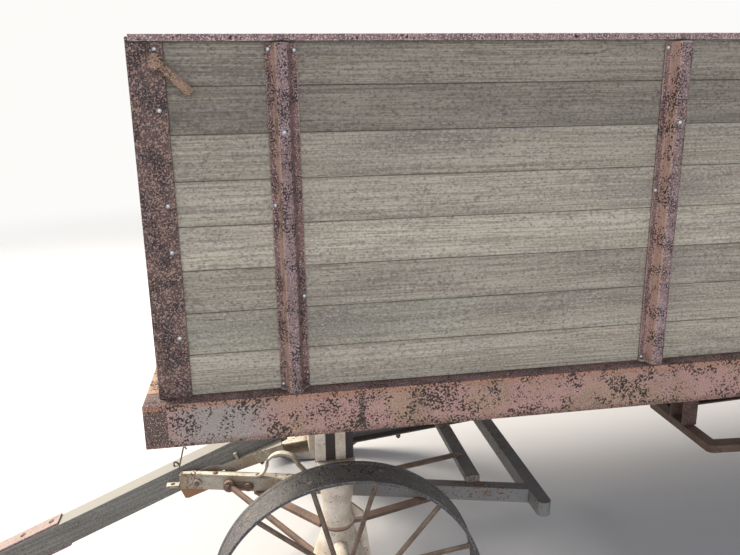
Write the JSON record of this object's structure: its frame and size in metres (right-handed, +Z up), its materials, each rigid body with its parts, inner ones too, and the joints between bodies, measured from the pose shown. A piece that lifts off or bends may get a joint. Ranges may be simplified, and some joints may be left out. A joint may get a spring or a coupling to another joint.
{
  "type": "hay wagon",
  "caption": "Board-sided hay wagon with iron stakes, a dropping rear gate, spoked steel wheels, a turning front truck and a stub tongue resting on the ground.",
  "frame": {"origin": "on the ground, under the middle of the parked wagon's length and width", "axes": "+X forward towards the tongue, +Y to the wagon's left, +Z up"},
  "size_m": [5.2514, 1.981, 1.729],
  "materials": {
    "weathered_boards": "matte",
    "floor_boards": "matte",
    "timber": "matte",
    "rusty_iron": "matte",
    "worn_primer": "matte",
    "truck_paint": "matte",
    "cast_paint": "matte",
    "brown_iron": "matte",
    "wheel_steel": "matte"
  },
  "bodies": {
    "wagon": {"floor": "floor_boards", "side_wall_left": "weathered_boards", "side_wall_right": "weathered_boards", "front_wall": "weathered_boards", "corner_posts": "rusty_iron", "side_stakes": "rusty_iron", "front_stakes": "rusty_iron", "top_rail": "rusty_iron", "box_rods": "rusty_iron", "side_sills": "worn_primer", "end_sills": "worn_primer", "cross_joists": "timber", "long_sills": "timber", "bolsters": "timber", "king_bolt": "rusty_iron", "reach": "timber", "reach_clamp": "rusty_iron", "rear_axle": "truck_paint", "rear_columns": "cast_paint", "rear_yokes": "rusty_iron", "rear_hounds": "brown_iron", "gate_lugs": "rusty_iron"},
    "front_truck": {"front_axle": "truck_paint", "front_columns": "cast_paint", "front_yokes": "rusty_iron", "sand_board": "timber", "front_hounds": "truck_paint", "hound_cross_bars": "truck_paint", "hound_braces": "rusty_iron", "bow_irons": "rusty_iron", "tongue_pin": "truck_paint"},
    "tongue": {"tongue_pole": "timber", "hitch_straps": "rusty_iron", "side_irons": "rusty_iron"},
    "rear_gate": {"gate_boards": "weathered_boards", "gate_battens": "rusty_iron"},
    "wheel_fl": {"wheel_fl_rim": "wheel_steel", "wheel_fl_spokes": "wheel_steel"},
    "wheel_fr": {"wheel_fr_rim": "wheel_steel", "wheel_fr_spokes": "wheel_steel"},
    "wheel_rl": {"wheel_rl_rim": "wheel_steel", "wheel_rl_spokes": "wheel_steel"},
    "wheel_rr": {"wheel_rr_rim": "wheel_steel", "wheel_rr_spokes": "wheel_steel"}
  },
  "joints": [
    {"name": "truck_turn", "type": "hinge", "parent": "wagon", "child": "front_truck", "pos_m": [1.37281, 0, 0.4], "axis": [0, 0, 1], "range_deg": [-40, 40]},
    {"name": "tongue_lift", "type": "hinge", "parent": "front_truck", "child": "tongue", "pos_m": [1.80781, 0, 0.362], "axis": [0, -1, 0], "range_deg": [0, 35]},
    {"name": "gate_drop", "type": "hinge", "parent": "wagon", "child": "rear_gate", "pos_m": [-2.61669, 0, 1.075], "axis": [0, -1, 0], "range_deg": [0, 180]},
    {"name": "wheel_fl_spin", "type": "hinge", "parent": "front_truck", "child": "wheel_fl", "pos_m": [1.37281, 0.6945, 0.3556], "axis": [0, 1, 0], "continuous": true},
    {"name": "wheel_fr_spin", "type": "hinge", "parent": "front_truck", "child": "wheel_fr", "pos_m": [1.37281, -0.6945, 0.3556], "axis": [0, 1, 0], "continuous": true},
    {"name": "wheel_rl_spin", "type": "hinge", "parent": "wagon", "child": "wheel_rl", "pos_m": [-1.57719, 0.6945, 0.4064], "axis": [0, 1, 0], "continuous": true},
    {"name": "wheel_rr_spin", "type": "hinge", "parent": "wagon", "child": "wheel_rr", "pos_m": [-1.57719, -0.6945, 0.4064], "axis": [0, 1, 0], "continuous": true}
  ]
}
